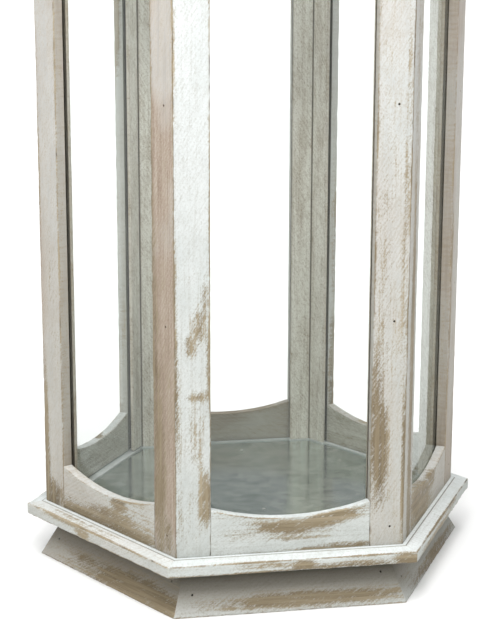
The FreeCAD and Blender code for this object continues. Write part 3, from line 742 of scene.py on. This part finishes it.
def rim_board(node, heading, places, thin, seed):
    low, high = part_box(node)
    outer = -low.y
    inner = APOTHEM + BOARD_STEP
    corners = [(inner, high.z, 0.3 * MM, 0.15), (outer, high.z - RIM_FALL, 1.2 * MM, 0.9),
               (outer, low.z, 1.2 * MM, 1.0), (inner, low.z, 0.3 * MM, 0.0)]
    return mitred_board(corners, heading, places, (), thin, seed, rough=1.5, seams=(0,))


def skirt_board(node, heading, places, pits, thin, seed):
    low, high = side_box(node, heading)
    foot = -low.y
    top = -high.y + SKIRT_BOARD
    corners = [(top, high.z, 0.3 * MM, 0.0), (foot, low.z, 0.8 * MM, 0.9),
               (foot - SKIRT_BOARD, low.z, 0.5 * MM, 0.5),
               (top - SKIRT_BOARD, high.z, 0.3 * MM, 0.0)]
    return mitred_board(corners, heading, places, pits, thin, seed, rough=0.8,
                        painted_shadow_depth=PAINTED_SHADOW_REACH)


# ---- Where the wash is worn -------------------------------------------------
# Along a stile the first number is the height over the frame's foot, and along a rail, rim
# or skirt board it is the distance from the board's left end. The second number goes across
# the outer face: from the lantern's corner on a stile, up from a rail's straight edge, out
# from the frames and then down the edge of the rim, and down a skirt board.
WORN = {
    "front_left_stile_left": [worn_place(30, 2, 85, 5), worn_place(8, 10, 12, 16, 0.9),
                              worn_place(250, 0, 80, 2.5, 0.8), worn_place(160, 14, 60, 7, 0.3)],
    "front_left_stile_right": [worn_place(60, 18, 80, 8, 0.85), worn_place(150, 22, 100, 5, 0.7),
                               worn_place(250, 25, 190, 2.2), worn_place(15, 10, 14, 8, 0.7),
                               worn_place(110, 10, 60, 9, 0.42), worn_place(230, 12, 90, 9, 0.30)],
    "front_left_rail_bottom": [worn_place(52, 1, 80, 9, 1.0), worn_place(66, 9, 34, 8, 1.0),
                               worn_place(72, 21, 12, 6, 0.95), worn_place(98, 7, 24, 7, 0.6),
                               worn_place(98, 16, 18, 9, 0.36)],
    "front_stile_left": [worn_place(152, 11, 9, 5, 0.75), worn_place(166, 16, 13, 5, 0.75),
                         worn_place(182, 21, 18, 3.5, 0.7), worn_place(140, 25, 48, 2.4),
                         worn_place(116, 17, 3.5, 9, 0.75), worn_place(88, 16, 26, 9, 0.42),
                         worn_place(125, 0, 46, 3.2, 0.90), worn_place(42, 21, 24, 6, 0.9),
                         worn_place(60, 4, 50, 2.5, 0.40), worn_place(240, 25, 70, 1.4, 0.9),
                         worn_place(30, 10, 24, 9, 0.30)],
    "front_stile_right": [worn_place(72, 19, 42, 8, 0.95), worn_place(106, 22, 50, 5, 0.8),
                          worn_place(60, 0, 70, 2.6), worn_place(220, 18, 130, 8, 0.36),
                          worn_place(260, 4, 170, 1.2, 0.55), worn_place(400, 25, 70, 2, 0.6),
                          worn_place(38, 16, 12, 8, 0.5), worn_place(150, 12, 60, 10, 0.28)],
    "front_rail_bottom": [worn_place(60, 19, 38, 5.5), worn_place(88, 22, 26, 6, 0.9),
                          worn_place(66, 11, 34, 3.5, 0.62), worn_place(20, 14, 20, 7, 0.40),
                          worn_place(92, 1.5, 36, 2.4, 0.95)],
    "front_right_stile_left": [worn_place(110, 14, 190, 6, 0.95), worn_place(20, 20, 26, 5, 0.8),
                               worn_place(330, 14, 90, 6, 0.5)],
    "front_right_rail_bottom": [worn_place(30, 14, 40, 20, 0.95), worn_place(62, 22, 20, 9, 0.8)],
    "front_right_stile_right": [worn_place(160, 22, 90, 3.5, 0.8), worn_place(40, 2, 40, 3, 0.6)],
    "base_rim_front": [worn_place(74, 14, 30, 2.4, 0.62), worn_place(97, 15, 10, 5, 0.95),
                       worn_place(135, 17, 32, 2.6, 0.85), worn_place(172, 15, 10, 6, 0.95),
                       worn_place(60, 19, 50, 2, 0.65), worn_place(110, 10.5, 50, 0.8, 0.7)],
    "base_rim_front_left": [worn_place(60, 4.5, 60, 2, 0.62), worn_place(60, 9.8, 78, 1.3, 0.95),
                            worn_place(76, 15, 10, 4, 0.95), worn_place(50, 12, 26, 1.6, 0.8),
                            worn_place(112, 19.5, 40, 1.8, 0.9)],
    "base_rim_front_right": [worn_place(60, 17, 56, 3, 0.85), worn_place(112, 13, 28, 3.5, 0.6),
                             worn_place(40, 10.5, 36, 1.2, 0.8)],
    # The patches at the very top of the skirt boards, under the rim, are partly painted shade.
    "skirt_board_front": [worn_place(104, 30, 84, 6.5), worn_place(54, 33, 30, 2.4, 0.75),
                          worn_place(60, 3, 50, 5, 0.8), worn_place(130, 6, 40, 4, 0.5)],
    "skirt_board_front_left": [worn_place(124, 31, 84, 12), worn_place(56, 27, 20, 5, 0.8),
                               worn_place(150, 18, 40, 9, 0.5), worn_place(120, 4, 50, 5, 0.4)],
    "skirt_board_front_right": [worn_place(100, 34, 80, 4.5, 0.9), worn_place(20, 28, 16, 8, 0.4)],
}
# How thin the wash is on the boards that differ, from 0, thick, to 1, hardly there. The back rail's thin,
# darker wash is painted shade inside the lantern, and the front left side's is partly painted shade.
WASH_THINNESS_AND_SHADE = {"front_left_stile_left": 0.60, "front_left_stile_right": 0.90, "front_left_rail_bottom": 0.30,
        "front_stile_left": 0.04, "front_stile_right": 0.26, "front_rail_bottom": 0.0,
        "front_right_stile_left": 0.35, "front_right_rail_bottom": 0.30,
        "front_right_stile_right": 0.58, "back_rail_bottom": 0.9,
        "back_right_rail_bottom": 0.3, "base_rim_front_left": 0.15, "skirt_board_front_left": 0.25}


def worn_places(name, seed, length, width):
    """The patches chosen for a board, or scattered ones if none were chosen."""
    if name in WORN:
        return WORN[name]
    return scattered_places(seed, length, width, SCATTERED_PATCHES)


def frame_brads(side, piece):
    """(along, across) of the brads in a side's right stile."""
    if piece != "stile_right" or side not in ("front_left", "front", "front_right", "back_right"):
        return []
    gap = (HEAD - FOOT - 2 * BRAD_END) / (BRAD_ROWS - 1)
    return [(BRAD_END + row * gap, BRAD_INSET) for row in range(BRAD_ROWS)]


def build_frames():
    """The uprights and rails of the six sides."""
    sides = [(side, heading, "lantern") for side, heading in FACES.items()]
    seed = 1
    for side, heading, body in sides + [("door", DOOR_HEADING, "door")]:
        for piece, hand in (("stile_left", -1), ("stile_right", 1)):
            node = side + "_" + piece
            width = SIDE / 2 - OPENING
            places = worn_places(node, seed, HEAD - FOOT, width)
            part = stile_board(node, heading, hand, places, frame_brads(side, piece),
                               WASH_THINNESS_AND_SHADE.get(node, FRAME_THIN), seed)
            wooden_piece(node + "_wood", [node], body, [part])
            seed += 1
        for piece, way in (("rail_bottom", 1), ("rail_top", -1)):
            node = side + "_" + piece
            places = worn_places(node, seed, 2 * OPENING, RAIL_MIDDLE)
            part = rail_board(node, heading, way, places, WASH_THINNESS_AND_SHADE.get(node, FRAME_THIN), seed)
            wooden_piece(node + "_wood", [node], body, [part])
            seed += 1


def skirt_brads(foot_radius, top_radius):
    """(along, around) of a skirt board's two brads, from its middle and its top."""
    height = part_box("skirt_board_front")[1].z
    face = math.hypot(height, (foot_radius - top_radius))
    half = foot_radius * TAN30
    brads = []
    for end, share in ((-1, 0.42), (1, 0.62)):
        distance = foot_radius + (top_radius - foot_radius) * share
        t = end * (distance * TAN30 - BRAD_INSET)
        brads.append((t / (distance * TAN30) * half, (1 - share) * face))
    return brads


def build_mouldings():
    """The skirt, and the rims round the base board and the top board."""
    headings = list(FACES.items()) + [("back_left", DOOR_HEADING)]
    for number, (side, heading) in enumerate(headings):
        node = "skirt_board_" + side
        low, high = side_box(node, heading)
        brads = skirt_brads(-low.y, -high.y + SKIRT_BOARD)
        seed = SKIRT_SEED + number
        places = worn_places(node, seed, SIDE, high.z)
        part = skirt_board(node, heading, places, brads, WASH_THINNESS_AND_SHADE.get(node, SKIRT_THIN), seed)
        wooden_piece(node + "_wood", [node], "lantern", [part])
    for node, first_seed in RIM_SEEDS.items():
        strips = []
        for number, (side, heading) in enumerate(headings):
            name = node + "_" + side
            seed = first_seed + number
            places = worn_places(name, seed, SIDE, RIM_WIDTH)
            strips.append(rim_board(node, heading, places, WASH_THINNESS_AND_SHADE.get(name, RIM_THIN), seed))
        wooden_piece(node + "_wood", [node], "lantern", strips)


# ---- Pieces that the CAD already shapes well --------------------------------
def finish_cad_nodes():
    """Give each CAD node that still shows its material, and ease its edges."""
    slots = {part["node"]: part["material_slot"] for part in frame["record"]["subparts"]}
    for name, node in frame["nodes"].items():
        if node.hide_render:
            continue
        node.data.materials.clear()
        node.data.materials.append(polished_zinc if name == "floor_sheet" else FINISHES[slots[name]])
        weld = node.modifiers.new("weld", "WELD")
        weld.merge_threshold = 0.01 * MM
        bevel = node.modifiers.new("bevel", "BEVEL")
        bevel.width = 0.25 * MM
        bevel.segments = 2
        bevel.limit_method = "ANGLE"
        bevel.angle_limit = math.radians(35)
        bevel.harden_normals = True


# ---- Floor, light and camera ------------------------------------------------
FLOOR_HALF = 150.0
SURROUND_LIGHT = 0.24
OVERHEAD_LIGHT = 3.5
OVERHEAD_SPREAD = math.radians(60)
OVERHEAD_TURN = (math.radians(12), math.radians(-5), 0.0)
LAMP_SIZE = 0.30
# Each lamp's name, place, target and power.
LAMPS = (("key", (-0.32, -1.05, 1.05), (0.0, 0.0, 0.20), 3.7),
         ("near_top", (-0.15, -0.45, 0.82), (0.0, -0.10, 0.42), 1.25))
CAMERA_PLACE = Vector((-0.21765, -1.14370, 0.43125))
CAMERA_YAW = 0.1852            # from +Y towards +X
CAMERA_PITCH = 0.2063          # below level
CAMERA_ROLL = 0.0033
CAMERA_LENS = 87.5


def pale_floor():
    """A plain white floor with the faintest mottle."""
    mesh = bpy.data.meshes.new("floor")
    corners = [(x * FLOOR_HALF, y * FLOOR_HALF, 0.0) for x, y in ((-1, -1), (1, -1), (1, 1), (-1, 1))]
    mesh.from_pydata(corners, [], [(0, 1, 2, 3)])
    graph = Graph("pale_floor")
    mottle = graph.noise(graph.object_place(), 3.0, 4.0)
    colour = graph.ramp(mottle, [(0.3, (0.930, 0.930, 0.927)), (0.7, (0.945, 0.945, 0.942))])
    shader = graph.add("BsdfPrincipled", {"Base Color": colour, "Roughness": 0.9,
                                          "Specular IOR Level": 0.1})
    mesh.materials.append(graph.finish(shader.outputs[0]))
    floor = bpy.data.objects.new("floor", mesh)
    bpy.context.scene.collection.objects.link(floor)


def area_light(name, place, target, power):
    data = bpy.data.lights.new(name, "AREA")
    data.shape = "DISK"
    data.size = LAMP_SIZE
    data.energy = power
    light = bpy.data.objects.new(name, data)
    light.location = place
    light.visible_camera = False
    light.rotation_euler = (Vector(target) - Vector(place)).to_track_quat("-Z", "Y").to_euler()
    bpy.context.scene.collection.objects.link(light)


def studio_light():
    """A white surround that lights softly, a wide light overhead and two lamps in front."""
    world = bpy.data.worlds.new("studio")
    world.use_nodes = True
    tree = world.node_tree
    background = tree.nodes["Background"]
    background.inputs["Color"].default_value = (1.0, 1.0, 1.0, 1.0)
    path = tree.nodes.new("ShaderNodeLightPath")
    seen = tree.nodes.new("ShaderNodeMapRange")
    seen.inputs["To Min"].default_value = SURROUND_LIGHT
    seen.inputs["To Max"].default_value = 1.0
    tree.links.new(path.outputs["Is Camera Ray"], seen.inputs["Value"])
    tree.links.new(seen.outputs[0], background.inputs["Strength"])
    bpy.context.scene.world = world
    data = bpy.data.lights.new("overhead", "SUN")
    data.energy = OVERHEAD_LIGHT
    data.angle = OVERHEAD_SPREAD
    overhead = bpy.data.objects.new("overhead", data)
    overhead.rotation_euler = OVERHEAD_TURN
    bpy.context.scene.collection.objects.link(overhead)
    for name, place, target, power in LAMPS:
        area_light(name, place, target, power)


def photo_camera():
    """A camera that sees the lantern from the photograph's place."""
    forward = Vector((math.sin(CAMERA_YAW) * math.cos(CAMERA_PITCH),
                      math.cos(CAMERA_YAW) * math.cos(CAMERA_PITCH),
                      -math.sin(CAMERA_PITCH)))
    level_right = Vector((math.cos(CAMERA_YAW), -math.sin(CAMERA_YAW), 0.0))
    level_up = level_right.cross(forward)
    right = level_right * math.cos(CAMERA_ROLL) + level_up * math.sin(CAMERA_ROLL)
    up = level_up * math.cos(CAMERA_ROLL) - level_right * math.sin(CAMERA_ROLL)
    data = bpy.data.cameras.new("camera")
    data.lens = CAMERA_LENS
    camera = bpy.data.objects.new("camera", data)
    turn = Matrix((right, up, -forward)).transposed().to_4x4()
    camera.matrix_world = Matrix.Translation(CAMERA_PLACE) @ turn
    bpy.context.scene.collection.objects.link(camera)
    bpy.context.scene.camera = camera


photo_camera()
bpy.context.scene.view_settings.view_transform = "Standard"
build_frames()
build_mouldings()
finish_cad_nodes()
pale_floor()
studio_light()
